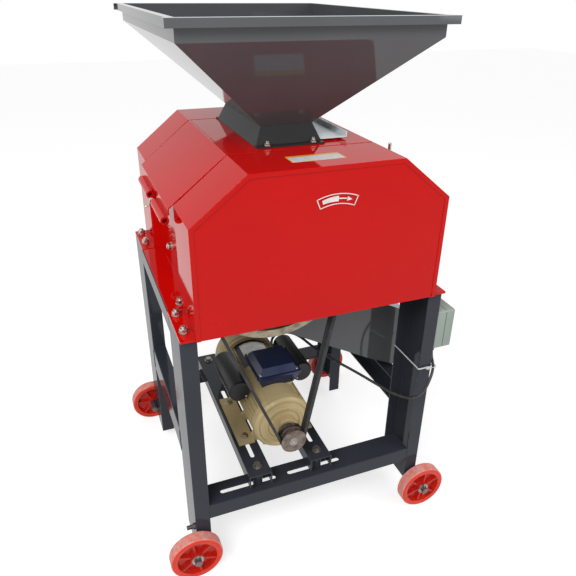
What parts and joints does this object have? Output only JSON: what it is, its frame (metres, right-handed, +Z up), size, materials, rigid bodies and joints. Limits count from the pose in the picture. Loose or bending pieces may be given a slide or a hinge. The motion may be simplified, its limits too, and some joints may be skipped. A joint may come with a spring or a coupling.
{
  "type": "grain grinder",
  "caption": "Roller grain grinder on a wheeled steel stand with a square feed hopper, belt guard, electric motor and side discharge chute.",
  "frame": {"origin": "centre of the overall box at floor level", "axes": "+X along the belt guard's front from left to right, +Y from the belt guard to the back, +Z up"},
  "size_m": [0.894, 0.907, 1.462],
  "materials": {
    "frame_paint": "semi-gloss dark blue-grey paint",
    "red_paint": "gloss red paint",
    "hopper_paint": "semi-gloss dark grey paint",
    "collar_paint": "black paint",
    "galvanised": "galvanised sheet",
    "zinc": "zinc-plated fasteners",
    "wheel_plastic": "orange-red moulded plastic with a bonded tread",
    "steel": "turned steel",
    "motor_paint": "khaki paint",
    "box_plastic": "navy moulded plastic",
    "black_plastic": "black plastic",
    "cast_iron": "cast iron, lightly oxidised",
    "rubber": "black rubber",
    "switch_plastic": "grey-green moulded plastic",
    "start_plastic": "green plastic",
    "stop_plastic": "red plastic",
    "cable_jacket": "dark grey cable jacket"
  },
  "bodies": {
    "stand": {"axle_keepers": "zinc", "bearing_housings": "cast_iron", "cable_glands": "black_plastic", "capacitors": "black_plastic", "collar_nuts": "zinc", "deck_nuts": "zinc", "discharge_chute": "hopper_paint", "drive_belts": "rubber", "fan_cowl": "motor_paint", "front_base_plate": "red_paint", "front_beam": "frame_paint", "front_guard": "red_paint", "hopper": "hopper_paint", "housing_front_wall": "red_paint", "housing_left_wall": "red_paint", "housing_rear_wall": "red_paint", "housing_right_wall": "red_paint", "leg_front_left": "frame_paint", "leg_front_right": "frame_paint", "leg_rear_left": "frame_paint", "leg_rear_right": "frame_paint", "motor_bell": "motor_paint", "motor_bolts": "zinc", "motor_housing": "motor_paint", "motor_lead": "cable_jacket", "motor_rail_left": "frame_paint", "motor_rail_right": "frame_paint", "rail_bolts": "zinc", "rail_spacers": "frame_paint", "rear_base_plate": "red_paint", "rear_beam": "frame_paint", "rear_guard": "red_paint", "side_beam_left": "frame_paint", "side_beam_right": "frame_paint", "switch_base": "switch_plastic", "switch_cover": "switch_plastic", "terminal_base": "box_plastic", "terminal_cover": "box_plastic", "throat_collar": "collar_paint", "top_cover": "red_paint", "top_rail_front": "frame_paint", "top_rail_left": "frame_paint", "top_rail_rear": "frame_paint", "top_rail_right": "frame_paint", "wheel_axles": "steel"},
    "front_left_wheel": {"wheel_front_left": "wheel_plastic"},
    "front_right_wheel": {"wheel_front_right": "wheel_plastic"},
    "rear_left_wheel": {"wheel_rear_left": "wheel_plastic"},
    "rear_right_wheel": {"wheel_rear_right": "wheel_plastic"},
    "drive": {"drive_roller": "cast_iron", "drive_gear": "cast_iron", "main_pulley": "cast_iron"},
    "driven": {"driven_roller": "cast_iron", "driven_gear": "cast_iron"},
    "rotor": {"motor_shaft": "steel", "motor_pulley": "cast_iron"},
    "gate": {"feed_gate": "galvanised"},
    "cover": {"inspection_cover": "red_paint"},
    "start": {"start_button": "start_plastic"},
    "stop": {"stop_button": "stop_plastic"}
  },
  "joints": [
    {"name": "front_left_wheel_spin", "type": "hinge", "parent": "stand", "child": "front_left_wheel", "pos_m": [-0.372, -0.4195, 0.075], "axis": [0, 1, 0], "continuous": true},
    {"name": "front_right_wheel_spin", "type": "hinge", "parent": "stand", "child": "front_right_wheel", "pos_m": [0.372, -0.4195, 0.075], "axis": [0, 1, 0], "continuous": true},
    {"name": "rear_left_wheel_spin", "type": "hinge", "parent": "stand", "child": "rear_left_wheel", "pos_m": [-0.372, 0.3225, 0.075], "axis": [0, 1, 0], "continuous": true},
    {"name": "rear_right_wheel_spin", "type": "hinge", "parent": "stand", "child": "rear_right_wheel", "pos_m": [0.372, 0.3225, 0.075], "axis": [0, 1, 0], "continuous": true},
    {"name": "drive_roller_spin", "type": "hinge", "parent": "stand", "child": "drive", "pos_m": [-0.12, -0.0545, 0.94], "axis": [0, 1, 0], "continuous": true},
    {"name": "driven_roller_spin", "type": "hinge", "parent": "stand", "child": "driven", "pos_m": [0.08, -0.0545, 0.94], "axis": [0, 1, 0], "continuous": true},
    {"name": "motor_spin", "type": "hinge", "parent": "stand", "child": "rotor", "pos_m": [-0.067, -0.3155, 0.38], "axis": [0, 1, 0], "continuous": true},
    {"name": "feed_gate_slide", "type": "slide", "parent": "stand", "child": "gate", "axis": [1, 0, 0], "range_m": [-0.065, 0.05]},
    {"name": "inspection_cover_hinge", "type": "hinge", "parent": "stand", "child": "cover", "pos_m": [-0.342, -0.0545, 1.015], "axis": [0, -1, 0], "range_deg": [0, 110]},
    {"name": "start_button_press", "type": "slide", "parent": "stand", "child": "start", "axis": [-1, 0, 0], "range_m": [0, 0.003], "stiffness_N_per_m": 600},
    {"name": "stop_button_press", "type": "slide", "parent": "stand", "child": "stop", "axis": [-1, 0, 0], "range_m": [0, 0.003], "stiffness_N_per_m": 600}
  ],
  "couplings": [
    {"joint": "driven_roller_spin", "follows": "drive_roller_spin", "ratio": -0.85185},
    {"joint": "motor_spin", "follows": "drive_roller_spin", "ratio": 5.9077}
  ]
}
